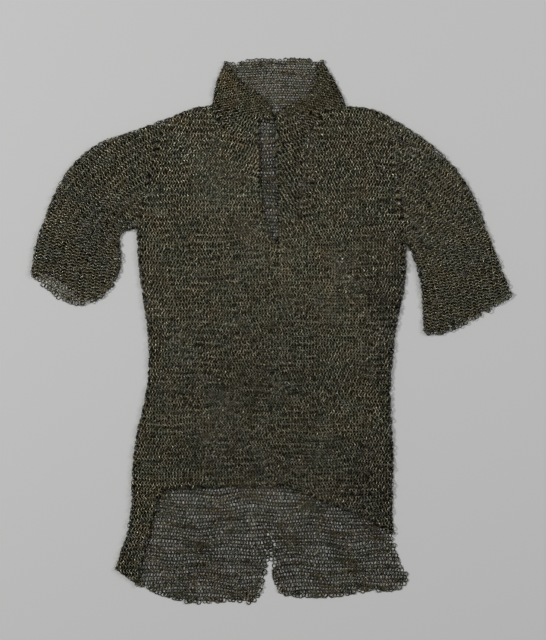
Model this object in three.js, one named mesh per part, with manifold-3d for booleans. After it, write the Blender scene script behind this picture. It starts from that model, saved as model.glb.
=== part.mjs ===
/**
 * A chainmail hauberk: a short-sleeved mail shirt laid out flat on its back.
 *
 * Millimetres, +Z up. +Y runs from the hem to the collar and +X to the viewer's right, with the
 * shirt's front facing up. The origin is the middle of the shirt's footprint, on the surface
 * that it lies on. Every section of the shirt is one wall of linked rings: the back, the
 * undersides of the sleeves and the back of the collar lie on the surface, and the front, the
 * tops of the sleeves and the front of the collar lie on them.
 */
import * as THREE from 'three';
import { mergeVertices } from 'three/addons/utils/BufferGeometryUtils.js';
import Module from 'manifold-3d';

const manifold = await Module();
manifold.setup();

// ---------------------------------------------------------------- driving dimensions

const WALL = 4; // one layer of leaning, linked rings
const SEAM_GAP = 0.3; // clear space between neighbouring sections, and between the layers
const EDGE_BAND = 5; // how far in from a folded edge the layer begins to bend
const EDGE_DROP = 2.2; // how much the layer has bent at the edge itself
const CUT_DEPTH = 80; // height of the prisms that trim the panels, well over the shirt's own
const UPPER = WALL + SEAM_GAP; // where the underside of the top layer lies
const PAST = { side: 340, hem: -600, frontHem: -390 }; // well outside the shirt, where the cutters end

// The body's two folded sides, one row for each level from below the hem up to the armpits.
const bodySides = [
  { level: 'below hem', y: -500, left: -302, right: 277 },
  { level: 'hem corner', y: -428, left: -280, right: 243 },
  { level: 'tail', y: -378, left: -261, right: 224 },
  { level: 'seat', y: -325, left: -251, right: 221 },
  { level: 'hip', y: -250, left: -249, right: 223 },
  { level: 'high hip', y: -190, left: -242, right: 222 },
  { level: 'below waist', y: -119, left: -225, right: 217 },
  { level: 'waist', y: -50, left: -218, right: 222 },
  { level: 'above waist', y: 8, left: -222, right: 228 },
  { level: 'ribs', y: 70, left: -231, right: 242 },
  { level: 'chest', y: 128, left: -238, right: 247 },
];
const armpit = { left: { x: -241, y: 184 }, right: { x: 246, y: 157 } };
const shoulder = { left: { x: -191, y: 381 }, right: { x: 206, y: 391 } };
const shoulderMiddle = { left: { x: -146, y: 399 }, right: { x: 176, y: 402 } };
const neckBase = { left: { x: -104, y: 408 }, right: { x: 137, y: 405 } };
const neckFront = { x: 9, y: 387 }; // where the collar's front halves meet over the slit
const frontNeckMiddle = { left: { x: -50, y: 394 }, right: { x: 72, y: 394 } };
const neckBack = { x: 16, y: 396 };
const backNeckMiddle = { left: { x: -46, y: 399 }, right: { x: 80, y: 399 } };

// The sleeves, one row for each section from the armhole down to the cuff. Each section runs
// from the fold under the arm to the fold along the top, and bows by that much towards the cuff.
const leftSleeve = [
  { innerX: -241, innerY: 184, outerX: -191, outerY: 381, bow: 0 },
  { innerX: -250, innerY: 182, outerX: -251, outerY: 359, bow: 2 },
  { innerX: -262, innerY: 180, outerX: -312, outerY: 337, bow: 6 },
  { innerX: -270, innerY: 171, outerX: -362, outerY: 294, bow: 12 },
  { innerX: -272, innerY: 157, outerX: -389, outerY: 247, bow: 20 },
  { innerX: -269, innerY: 140, outerX: -410, outerY: 195, bow: 30 },
  { innerX: -269, innerY: 119, outerX: -425, outerY: 150, bow: 41 },
  { innerX: -276, innerY: 97, outerX: -433, outerY: 105, bow: 53 },
];
const rightSleeve = [
  { innerX: 246, innerY: 157, outerX: 206, outerY: 391, bow: 0 },
  { innerX: 251, innerY: 153, outerX: 252, outerY: 364, bow: 2 },
  { innerX: 255, innerY: 143, outerX: 306, outerY: 323, bow: 4 },
  { innerX: 261, innerY: 125, outerX: 349, outerY: 275, bow: 6 },
  { innerX: 268, innerY: 102, outerX: 376, outerY: 226, bow: 8 },
  { innerX: 273, innerY: 75, outerX: 394, outerY: 174, bow: 10 },
  { innerX: 276, innerY: 40, outerX: 413, outerY: 124, bow: 12 },
  { innerX: 278, innerY: -2, outerX: 437, outerY: 64, bow: 15 },
];
const BOW_PEAK = { left: 0.43, right: 0.3 }; // where a section bows most, as a share from the inner fold

// The collar's folded sides, its top edge at the back, and the free edges of its front halves.
const collarSides = {
  left: [
    { x: -99, y: 440 },
    { x: -91, y: 464 },
    { x: -81, y: 486 },
  ],
  right: [
    { x: 129, y: 427 },
    { x: 112, y: 459 },
    { x: 94, y: 488 },
  ],
};
const collarTop = [
  { x: -81, y: 486 },
  { x: -64, y: 487 },
  { x: -54, y: 480 },
  { x: -44, y: 488 },
  { x: 2, y: 490 },
  { x: 16, y: 486 },
  { x: 28, y: 491 },
  { x: 62, y: 491 },
  { x: 94, y: 488 },
];
const neckline = {
  left: [
    { x: 9, y: 387 },
    { x: 7, y: 394 },
    { x: -5, y: 412 },
    { x: -27, y: 433 },
    { x: -58, y: 454 },
    { x: -72, y: 474 },
  ],
  right: [
    { x: 9, y: 387 },
    { x: 12, y: 395 },
    { x: 30, y: 405 },
    { x: 59, y: 418 },
    { x: 78, y: 445 },
    { x: 88, y: 480 },
  ],
};

// The neck slit, one row for each level from its rounded top to its foot.
const slitLevels = [
  { y: 380, left: -12, right: 3 },
  { y: 371, left: -20, right: 11 },
  { y: 350, left: -22, right: 13 },
  { y: 325, left: -16, right: 9 },
  { y: 285, left: -18, right: 11 },
  { y: 240, left: -14, right: 12 },
  { y: 205, left: -6, right: 15 },
  { y: 176, left: 3, right: 17 },
  { y: 160, left: 9, right: 13 },
];

// The front's hem, from the foot of the strip that hangs lower, up its inner edge and across.
const frontHem = [
  { x: -238, y: -470 },
  { x: -229, y: -413 },
  { x: -215, y: -362 },
  { x: -206, y: -318 },
  { x: -197, y: -290 },
  { x: -144, y: -285 },
  { x: -60, y: -281 },
  { x: 20, y: -282 },
  { x: 58, y: -292 },
  { x: 92, y: -309 },
  { x: 150, y: -329 },
  { x: 188, y: -348 },
  { x: 226, y: -370 },
];

// The hems of the two tails, each from the side to the vent, and the top of the vent.
const leftTailHem = [
  { x: -300, y: -408 },
  { x: -261, y: -444 },
  { x: -212, y: -471 },
  { x: -158, y: -489 },
  { x: -112, y: -492 },
  { x: -72, y: -488 },
  { x: -34, y: -492 },
  { x: -20, y: -479 },
  { x: -8, y: -441 },
  { x: -2, y: -404 },
];
const ventTop = { x: -1, y: -371 };
const rightTailHem = [
  { x: 1, y: -414 },
  { x: 10, y: -457 },
  { x: 25, y: -478 },
  { x: 60, y: -481 },
  { x: 122, y: -480 },
  { x: 178, y: -470 },
  { x: 234, y: -467 },
  { x: 264, y: -434 },
];

// The largest folds of the top layer. Each is a soft ridge through (x, y) along its heading,
// in degrees from +X; its length and width are where it has faded to about a third.
const ridges = [
  { name: 'right lip of the slit', x: 27, y: 286, heading: 96, length: 88, width: 15, height: 4.5 },
  { name: 'left lip of the slit', x: -33, y: 318, heading: 84, length: 62, width: 12, height: 2.6 },
  { name: 'left armpit', x: -198, y: 160, heading: 57, length: 74, width: 15, height: 4.2 },
  { name: 'right armpit', x: 201, y: 142, heading: 118, length: 66, width: 14, height: 3.8 },
  { name: 'left sleeve bend', x: -291, y: 232, heading: 43, length: 58, width: 17, height: 4.4 },
  { name: 'right sleeve bend', x: 298, y: 214, heading: 131, length: 64, width: 16, height: 4.0 },
  { name: 'waist slack', x: -92, y: -72, heading: 14, length: 112, width: 22, height: 3.0 },
  { name: 'waist slack, right', x: 118, y: -38, heading: -18, length: 84, width: 18, height: 2.6 },
  { name: 'right flank drag', x: 112, y: -196, heading: -52, length: 104, width: 26, height: 3.6 },
  { name: 'left flank drag', x: -148, y: -206, heading: 71, length: 92, width: 20, height: 2.8 },
  { name: 'chest slack', x: 128, y: 268, heading: 32, length: 86, width: 21, height: 2.8 },
  { name: 'left collar roll', x: -62, y: 432, heading: 124, length: 34, width: 13, height: 4.6 },
  { name: 'right collar roll', x: 92, y: 430, heading: 62, length: 34, width: 13, height: 5.2 },
];

// How many steps the panels' grids take along each stretch.
const STEPS = { side: 15, armhole: 6, shoulder: 3, halfNeck: 4, sleeve: 10, collar: 6 };

const darkIron = { color: 0x3c392e, roughness: 0.52, metalness: 0.85 };
const wornIron = { color: 0x45423a, roughness: 0.5, metalness: 0.85 };

// ---------------------------------------------------------------- lines in the plan

const point = ({ x, y }) => new THREE.Vector2(x, y);
const inner = ({ innerX, innerY }) => new THREE.Vector2(innerX, innerY);
const outer = ({ outerX, outerY }) => new THREE.Vector2(outerX, outerY);

/** Evenly spaced points on the smooth line through some places. */
function smoothLine(places, steps) {
  const through = places.map(({ x, y }) => new THREE.Vector3(x, y, 0));
  const curve = new THREE.CatmullRomCurve3(through, false, 'centripetal');
  return curve.getSpacedPoints(steps).map(point);
}

/** A straight line between two places, with an extra point a fold's width in from each end. */
function straightLine(from, to, steps) {
  const [a, b] = [point(from), point(to)];
  const edge = EDGE_BAND / a.distanceTo(b);
  const even = Array.from({ length: steps + 1 }, (_, i) => i / steps);
  return [0, edge, ...even.slice(1, -1), 1 - edge, 1].map((t) => a.clone().lerp(b, t));
}

/** Lines laid end to end, without their shared ends twice. */
const join = (first, ...rest) => rest.reduce((line, next) => [...line, ...next.slice(1)], first);

/** How far along a line each of its points is, from 0 to 1. */
function shares(line) {
  const far = [0];
  for (let i = 1; i < line.length; i += 1) far.push(far[i - 1] + line[i].distanceTo(line[i - 1]));
  return far.map((length) => length / far.at(-1));
}

/** A point that is some way along a line, the way given as a share of its length. */
function pointAlong(line, share) {
  const at = shares(line);
  const i = Math.max(1, at.findIndex((s) => s >= share - 1e-9));
  return line[i - 1].clone().lerp(line[i], (share - at[i - 1]) / (at[i] - at[i - 1]));
}

/** The distance from a place to the nearest point of a line. */
function distanceTo(line, place) {
  const onLine = line.slice(1).map((end, i) => {
    const run = end.clone().sub(line[i]);
    const t = THREE.MathUtils.clamp(place.clone().sub(line[i]).dot(run) / run.lengthSq(), 0, 1);
    return line[i].clone().addScaledVector(run, t).distanceTo(place);
  });
  return Math.min(...onLine);
}

// ---------------------------------------------------------------- grids and heights

/** A grid of places, rows from bottom to top, blended between four edges that share corners. */
function blendedGrid({ bottom, top, left, right }) {
  const across = shares(bottom).map((s, i) => (s + shares(top)[i]) / 2);
  const up = shares(left).map((t, j) => (t + shares(right)[j]) / 2);
  const [b0, b1, t0, t1] = [bottom[0], bottom.at(-1), top[0], top.at(-1)];
  return up.map((t, j) =>
    across.map((s, i) => {
      const vertical = bottom[i].clone().lerp(top[i], t);
      const horizontal = left[j].clone().lerp(right[j], s);
      const corners = b0.clone().lerp(b1, s).lerp(t0.clone().lerp(t1, s), t);
      return vertical.add(horizontal).sub(corners);
    }),
  );
}

/** A grid for a sleeve, rows from the armhole to the cuff, points in the armhole's own spacing. */
function sleeveGrid(sections, armhole, bowPeak) {
  const steps = STEPS.sleeve;
  const skew = Math.log(0.5) / Math.log(bowPeak);
  const innerFold = smoothLine(sections.map(inner), steps);
  const outerFold = smoothLine(sections.map(outer), steps);
  const across = shares(armhole);
  return innerFold.map((from, j) => {
    const to = outerFold[j];
    const along = new THREE.Vector2(from.y - to.y, to.x - from.x).normalize();
    if (along.y > 0) along.negate();
    const place = (j / steps) * (sections.length - 1);
    const low = sections[Math.floor(place)].bow;
    const bow = THREE.MathUtils.lerp(low, sections[Math.ceil(place)].bow, place % 1);
    const bowed = (s) => bow * Math.sin(Math.PI * s ** skew);
    return across.map((s) => from.clone().lerp(to, s).addScaledVector(along, bowed(s)));
  });
}

/** Moves one edge of a grid inwards by half the gap that a seam keeps. */
function insetEdge(grid, edge) {
  const last = { row: grid.length - 1, column: grid[0].length - 1 };
  const towards = (from, to) => from.addScaledVector(to.clone().sub(from).normalize(), SEAM_GAP / 2);
  if (edge === 'bottom') grid[0].forEach((p, i) => towards(p, grid[1][i]));
  if (edge === 'top') grid[last.row].forEach((p, i) => towards(p, grid[last.row - 1][i]));
  if (edge === 'left') grid.forEach((row) => towards(row[0], row[1]));
  if (edge === 'right') grid.forEach((row) => towards(row[last.column], row[last.column - 1]));
}

/** How far the top layer is lifted at a place by the folds. */
function ridgeLift(place) {
  return ridges.reduce((lift, ridge) => {
    const turn = THREE.MathUtils.degToRad(ridge.heading);
    const away = place.clone().sub(point(ridge)).rotateAround(new THREE.Vector2(), -turn);
    return lift + ridge.height * Math.exp(-((away.x / ridge.length) ** 2) - (away.y / ridge.width) ** 2);
  }, 0);
}

/** How far a layer has bent towards the other layer, near the folded edges. */
function edgeDrop(place, folds) {
  const near = Math.min(EDGE_BAND, ...folds.map((fold) => distanceTo(fold, place)));
  return EDGE_DROP * (1 - near / EDGE_BAND) ** 2;
}

// ---------------------------------------------------------------- solids

/** A closed wall over a grid of places, from heights for its underside and its top. */
function wallGeometry(grid, underside, topside) {
  const [rows, columns] = [grid.length, grid[0].length];
  const index = [];
  const quad = (a, b, c, d) => index.push(a, b, c, a, c, d);
  const at = (j, i) => j * columns + i;
  const layer = rows * columns;
  for (let j = 0; j + 1 < rows; j += 1) {
    for (let i = 0; i + 1 < columns; i += 1) {
      const around = [at(j, i), at(j, i + 1), at(j + 1, i + 1), at(j + 1, i)];
      quad(...around.map((n) => n + layer));
      quad(...around.reverse());
    }
  }
  const rim = [];
  for (let i = 0; i < columns - 1; i += 1) rim.push(at(0, i));
  for (let j = 0; j < rows - 1; j += 1) rim.push(at(j, columns - 1));
  for (let i = columns - 1; i > 0; i -= 1) rim.push(at(rows - 1, i));
  for (let j = rows - 1; j > 0; j -= 1) rim.push(at(j, 0));
  rim.forEach((a, n) => {
    const b = rim[(n + 1) % rim.length];
    quad(a, b, b + layer, a + layer);
  });
  const places = grid.flat();
  const corners = [underside, topside].flatMap((height) => places.flatMap((p) => [p.x, p.y, height(p)]));
  const geometry = new THREE.BufferGeometry();
  geometry.setAttribute('position', new THREE.Float32BufferAttribute(corners, 3));
  geometry.setIndex(index);
  return geometry;
}

/** The grid with its points running anticlockwise as seen from above. */
function facingUp(grid) {
  const [a, b, c] = [grid[0][0], grid[0].at(-1), grid.at(-1)[0]];
  const turn = b.clone().sub(a).cross(c.clone().sub(a));
  return turn > 0 ? grid : grid.map((row) => [...row].reverse());
}

/** An upright prism that takes away whatever lies inside an outline. */
function cutter(outline) {
  const shape = new THREE.Shape(outline);
  const prism = new THREE.ExtrudeGeometry(shape, { depth: CUT_DEPTH, bevelEnabled: false });
  return prism.translate(0, 0, -CUT_DEPTH / 2);
}

/** A closed geometry as a solid that can be cut. */
function solidOf(geometry) {
  const bare = geometry.clone();
  bare.deleteAttribute('normal');
  bare.deleteAttribute('uv');
  const merged = mergeVertices(bare);
  return new manifold.Manifold(
    new manifold.Mesh({
      numProp: 3,
      vertProperties: new Float32Array(merged.attributes.position.array),
      triVerts: new Uint32Array(merged.index.array),
    }),
  );
}

/** A geometry with each of the cutters' insides taken away. */
function trimmed(geometry, cutters) {
  const solid = cutters.reduce((rest, tool) => rest.subtract(solidOf(tool)), solidOf(geometry));
  const mesh = solid.getMesh();
  const result = new THREE.BufferGeometry();
  result.setAttribute('position', new THREE.BufferAttribute(mesh.vertProperties, 3));
  result.setIndex(new THREE.BufferAttribute(mesh.triVerts, 1));
  return result;
}

/** One section of the shirt as a named mesh. */
function section(name, geometry, finish) {
  const flat = geometry.toNonIndexed();
  flat.computeVertexNormals();
  const mesh = new THREE.Mesh(flat, new THREE.MeshStandardMaterial(finish));
  mesh.name = name;
  return mesh;
}

/** A section that lies on the surface; its folded edges bend up to meet the layer above. */
function lowerSection(name, grid, { seams, folds, cutters = [] }) {
  seams.forEach((edge) => insetEdge(grid, edge));
  const geometry = wallGeometry(facingUp(grid), (p) => edgeDrop(p, folds), () => WALL);
  return section(name, trimmed(geometry, cutters), wornIron);
}

/** A section of the top layer; it takes the folds, and its folded edges bend down. */
function upperSection(name, grid, { seams, folds, cutters = [] }) {
  seams.forEach((edge) => insetEdge(grid, edge));
  const underside = (p) => UPPER + ridgeLift(p);
  const topside = (p) => underside(p) + WALL - edgeDrop(p, folds);
  return section(name, trimmed(wallGeometry(facingUp(grid), underside, topside), cutters), darkIron);
}

// ---------------------------------------------------------------- edges that sections share

const side = {
  left: smoothLine([...bodySides.map(({ y, left }) => ({ x: left, y })), armpit.left], STEPS.side),
  right: smoothLine([...bodySides.map(({ y, right }) => ({ x: right, y })), armpit.right], STEPS.side),
};
const armhole = {
  left: straightLine(armpit.left, shoulder.left, STEPS.armhole),
  right: straightLine(armpit.right, shoulder.right, STEPS.armhole),
};
const shoulderLine = {
  left: smoothLine([shoulder.left, shoulderMiddle.left, neckBase.left], STEPS.shoulder),
  right: smoothLine([neckBase.right, shoulderMiddle.right, shoulder.right], STEPS.shoulder),
};
const frontNeck = {
  left: smoothLine([neckBase.left, frontNeckMiddle.left, neckFront], STEPS.halfNeck),
  right: smoothLine([neckFront, frontNeckMiddle.right, neckBase.right], STEPS.halfNeck),
};
const backNeck = smoothLine(
  [neckBase.left, backNeckMiddle.left, neckBack, backNeckMiddle.right, neckBase.right],
  2 * STEPS.halfNeck,
);
const collarFold = {
  left: smoothLine([neckBase.left, ...collarSides.left], STEPS.collar),
  right: smoothLine([neckBase.right, ...collarSides.right], STEPS.collar),
};
const sleeveFolds = {
  left: [smoothLine(leftSleeve.map(inner), STEPS.sleeve), smoothLine(leftSleeve.map(outer), STEPS.sleeve)],
  right: [smoothLine(rightSleeve.map(inner), STEPS.sleeve), smoothLine(rightSleeve.map(outer), STEPS.sleeve)],
};
const bodyFolds = [side.left, side.right, shoulderLine.left, shoulderLine.right];

// ---------------------------------------------------------------- body

/** The body's grid, with the given line over its shoulders and round its neck. */
function bodyGrid(neckLine) {
  const top = join(shoulderLine.left, neckLine, shoulderLine.right);
  const foot = [side.left[0], side.right[0]];
  const bottom = shares(top).map((share) => pointAlong(foot, share));
  return blendedGrid({
    bottom,
    top,
    left: join(side.left, armhole.left),
    right: join(side.right, armhole.right),
  });
}

/** What lies below the tails: a prism under their hems, with the vent as its peak. */
function hemCutter() {
  const steps = 3;
  const left = smoothLine(leftTailHem, steps * (leftTailHem.length - 1));
  const right = smoothLine(rightTailHem, steps * (rightTailHem.length - 1));
  return cutter([
    new THREE.Vector2(-PAST.side, PAST.hem),
    new THREE.Vector2(-PAST.side, left[0].y),
    ...left,
    point(ventTop),
    ...right,
    new THREE.Vector2(PAST.side, right.at(-1).y),
    new THREE.Vector2(PAST.side, PAST.hem),
  ]);
}

/** What lies below the front's arched hem, inwards of the strip that hangs lower. */
function frontHemCutter() {
  const hem = smoothLine(frontHem, 2 * frontHem.length);
  return cutter([
    new THREE.Vector2(hem[0].x, PAST.hem),
    ...hem,
    new THREE.Vector2(PAST.side, PAST.frontHem),
    new THREE.Vector2(PAST.side, PAST.hem),
  ]);
}

/** The neck slit, as a prism through its outline. */
function slitCutter() {
  const steps = 2 * slitLevels.length;
  const left = smoothLine(slitLevels.map((level) => ({ x: level.left, y: level.y })), steps);
  const right = smoothLine(slitLevels.map((level) => ({ x: level.right, y: level.y })), steps);
  return cutter([...left, ...right.reverse()]);
}

/** The back of the body, on the surface, with its two tails. */
function backPanel() {
  return lowerSection('back_panel', bodyGrid(backNeck), {
    seams: ['top', 'left', 'right'],
    folds: bodyFolds,
    cutters: [hemCutter()],
  });
}

/** The front of the body, on the back, cut shorter and slit at the neck. */
function frontPanel() {
  return upperSection('front_panel', bodyGrid(join(frontNeck.left, frontNeck.right)), {
    seams: ['top', 'left', 'right'],
    folds: bodyFolds,
    cutters: [hemCutter(), frontHemCutter(), slitCutter()],
  });
}

// ---------------------------------------------------------------- sleeves

/** Both layers of one sleeve. */
function sleeve(which, sections) {
  const grid = () => sleeveGrid(sections, armhole[which], BOW_PEAK[which]);
  const options = { seams: ['bottom'], folds: sleeveFolds[which] };
  return [
    lowerSection(`sleeve_${which}_under`, grid(), options),
    upperSection(`sleeve_${which}_upper`, grid(), options),
  ];
}

// ---------------------------------------------------------------- collar

/** The back half of the collar, whose inner face shows in the neckline. */
function collarBack() {
  const top = smoothLine(collarTop, 2 * STEPS.halfNeck);
  const grid = blendedGrid({ bottom: backNeck, top, left: collarFold.left, right: collarFold.right });
  return lowerSection('collar_back', grid, {
    seams: ['bottom'],
    folds: [collarFold.left, collarFold.right],
  });
}

/** One front half of the collar, between its folded side and its free edge. */
function collarFront(which) {
  const free = smoothLine(neckline[which], STEPS.collar);
  const fold = collarFold[which];
  const [left, right] = which === 'left' ? [fold, free] : [free, fold];
  const ends = [left.at(-1), right.at(-1)];
  const top = shares(frontNeck[which]).map((share) => pointAlong(ends, share));
  const grid = blendedGrid({ bottom: frontNeck[which], top, left, right });
  return upperSection(`collar_front_${which}`, grid, {
    seams: ['bottom', which === 'left' ? 'right' : 'left'],
    folds: [fold],
  });
}

// ---------------------------------------------------------------- the shirt

const hauberk = new THREE.Group();
hauberk.name = 'hauberk';
hauberk.add(backPanel(), frontPanel());
hauberk.add(...sleeve('left', leftSleeve), ...sleeve('right', rightSleeve));
hauberk.add(collarBack(), collarFront('left'), collarFront('right'));

// The footprint is centred on the origin, and its underside is on the surface.
const footprint = new THREE.Box3().setFromObject(hauberk);
const middle = footprint.getCenter(new THREE.Vector3());
hauberk.position.set(-middle.x, -middle.y, -footprint.min.z);

export default hauberk;
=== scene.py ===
"""A short-sleeved mail shirt laid flat, with every ring of the knit as its own small solid.

Each wall of the frame is one layer of mail, 4 mm thick. Rows of rings are worked out over it as whole
arrays: the rings of a row lean along it like fallen dominoes, the next row leans the other way half a
ring further on, and where the cloth folds a line of rings stands up round its edge. Lengths are in
millimetres until a mesh is written, and X, Y and Z are those of the frame.
"""

import logging
import math
from dataclasses import dataclass, replace
from enum import Enum
from functools import cache

import bpy
import numpy as np
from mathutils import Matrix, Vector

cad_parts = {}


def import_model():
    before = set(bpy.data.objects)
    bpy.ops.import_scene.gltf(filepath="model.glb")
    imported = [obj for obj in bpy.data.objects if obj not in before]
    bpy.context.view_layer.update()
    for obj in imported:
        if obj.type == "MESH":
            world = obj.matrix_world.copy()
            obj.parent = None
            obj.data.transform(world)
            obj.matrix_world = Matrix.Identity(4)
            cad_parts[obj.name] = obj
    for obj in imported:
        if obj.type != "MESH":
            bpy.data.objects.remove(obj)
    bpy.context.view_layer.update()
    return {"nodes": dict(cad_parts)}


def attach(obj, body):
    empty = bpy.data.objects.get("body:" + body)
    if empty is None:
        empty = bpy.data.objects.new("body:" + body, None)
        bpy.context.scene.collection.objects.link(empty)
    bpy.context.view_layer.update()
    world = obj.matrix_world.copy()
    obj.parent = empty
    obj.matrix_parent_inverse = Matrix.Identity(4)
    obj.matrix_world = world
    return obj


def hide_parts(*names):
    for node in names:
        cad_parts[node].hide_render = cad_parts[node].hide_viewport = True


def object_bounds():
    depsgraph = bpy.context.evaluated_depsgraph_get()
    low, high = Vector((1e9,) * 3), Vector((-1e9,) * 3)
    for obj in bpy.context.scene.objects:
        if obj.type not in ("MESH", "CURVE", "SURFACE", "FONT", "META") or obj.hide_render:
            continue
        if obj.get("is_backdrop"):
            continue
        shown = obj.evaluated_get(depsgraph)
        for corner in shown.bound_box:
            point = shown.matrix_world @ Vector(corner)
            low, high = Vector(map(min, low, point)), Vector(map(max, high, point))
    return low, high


log = logging.getLogger("mail_shirt")

METRE = 0.001  # one millimetre
LAYER = 4.0  # thickness of one layer of mail
FLOOR_CLEARANCE = 0.05
TURN = 2 * math.pi

UP = (0.0, 0.0, 1.0)
NO_LENGTH = 1e-12  # keeps a division by a vector's length safe
FAR = 1e6  # the distance to an edge that isn't there

Points = np.ndarray  # (n, 2) places in plan
Vectors = np.ndarray  # (n, 3) places or directions
Socket = bpy.types.NodeSocket


def unit(vectors: Vectors) -> Vectors:
    """Each vector divided by its own length."""
    return vectors / np.maximum(np.linalg.norm(vectors, axis=-1, keepdims=True), NO_LENGTH)


def smooth_step(value: np.ndarray, low: float, high: float) -> np.ndarray:
    """0 below low, 1 above high, and 3t^2 - 2t^3 between them."""
    t = np.clip((value - low) / (high - low), 0, 1)
    return t * t * (3 - 2 * t)


def add_to_scene(name: str, data: bpy.types.ID) -> bpy.types.Object:
    """Puts a new object with some data into the scene.

    Args:
        name: The object's name.
        data: Its mesh, lamp or camera.

    Returns:
        The object, at the origin.
    """
    made = bpy.data.objects.new(name, data)
    bpy.context.scene.collection.objects.link(made)
    return made


# ---- the walls that carry the mail


@dataclass
class Facing:
    """The triangles of some walls that look up, or down, as a height over the plan."""

    corners: np.ndarray  # (t, 3, 3)

    BATCH = 1500  # places compared with every triangle at a time
    LEVEL = 0.5  # the cosine of 60 degrees
    SLIP = 1e-6  # how far outside a triangle a place on its edge may come out
    DECIMALS = 3  # corners that agree to these are one

    @classmethod
    def of_nodes(cls, nodes: list[bpy.types.Object], up: bool = True) -> "Facing":
        """Reads one side of the nodes' walls.

        Args:
            nodes: CAD nodes of the frame.
            up: True for the side that looks up.

        Returns:
            The triangles within 60 degrees of level on that side.
        """
        parts = []
        for node in nodes:
            mesh = node.data
            mesh.calc_loop_triangles()
            places = np.empty(len(mesh.vertices) * 3)
            mesh.vertices.foreach_get("co", places)
            index = np.empty(len(mesh.loop_triangles) * 3, dtype=np.int64)
            mesh.loop_triangles.foreach_get("vertices", index)
            corners = places.reshape(-1, 3)[index.reshape(-1, 3)] / METRE
            across = unit(np.cross(corners[:, 1] - corners[:, 0], corners[:, 2] - corners[:, 0]))
            level = across[:, 2] > cls.LEVEL if up else across[:, 2] < -cls.LEVEL
            parts.append(corners[level])
        return cls(np.concatenate(parts))

    def at(self, places: Points) -> tuple[np.ndarray, np.ndarray, Vectors]:
        """Which places are over the facing, its height there and its normal.

        A place is in a triangle where its three area shares are all positive, and its height is the
        corners' heights weighed by those shares.

        Args:
            places: Points in plan.

        Returns:
            A mask, heights and upward normals, one of each for a place.
        """
        a, b, c = (self.corners[:, k] for k in range(3))
        twice = (b[:, 0] - a[:, 0]) * (c[:, 1] - a[:, 1]) - (b[:, 1] - a[:, 1]) * (c[:, 0] - a[:, 0])
        slopes = unit(np.cross(b - a, c - a)) * np.sign(twice)[:, None]
        inside = np.zeros(len(places), dtype=bool)
        height = np.zeros(len(places))
        normal = np.tile(UP, (len(places), 1))
        for start in range(0, len(places), self.BATCH):
            x, y = places[start : start + self.BATCH].T[:, :, None]
            share_b = ((x - a[:, 0]) * (c[:, 1] - a[:, 1]) - (y - a[:, 1]) * (c[:, 0] - a[:, 0])) / twice
            share_c = ((b[:, 0] - a[:, 0]) * (y - a[:, 1]) - (b[:, 1] - a[:, 1]) * (x - a[:, 0])) / twice
            share_a = 1 - share_b - share_c
            least = np.minimum(np.minimum(share_a, share_b), share_c)
            best = least.argmax(axis=1)
            row = np.arange(len(best))
            rows = slice(start, start + len(best))
            inside[rows] = least[row, best] > -self.SLIP
            height[rows] = (
                share_a[row, best] * a[best, 2]
                + share_b[row, best] * b[best, 2]
                + share_c[row, best] * c[best, 2]
            )
            normal[rows] = slopes[best]
        return inside, height, normal

    def rim(self) -> np.ndarray:
        """The facing's outline: the edges that only one triangle has.

        Returns:
            Segments (s, 2, 2) with the mail on their left, loop after loop.
        """
        flat = np.round(self.corners[:, :, :2].reshape(-1, 2), self.DECIMALS)
        places, index = np.unique(flat, axis=0, return_inverse=True)
        tri = index.reshape(-1, 3)
        edges = np.concatenate([tri[:, [0, 1]], tri[:, [1, 2]], tri[:, [2, 0]]])
        _, first, count = np.unique(np.sort(edges, axis=1), axis=0, return_index=True, return_counts=True)
        follow = dict(edges[first[count == 1]].tolist())
        order: list[tuple[int, int]] = []
        while follow:
            at = next(iter(follow))
            while at in follow:
                then = follow.pop(at)
                order.append((at, then))
                at = then
        return places[np.array(order)]


class Edge(Enum):
    """What a stretch of a layer's outline is."""

    FREE = 0  # the mail ends
    FOLD = 1  # it turns round to the other layer
    SEAM = 2  # it runs on into the next panel


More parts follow.
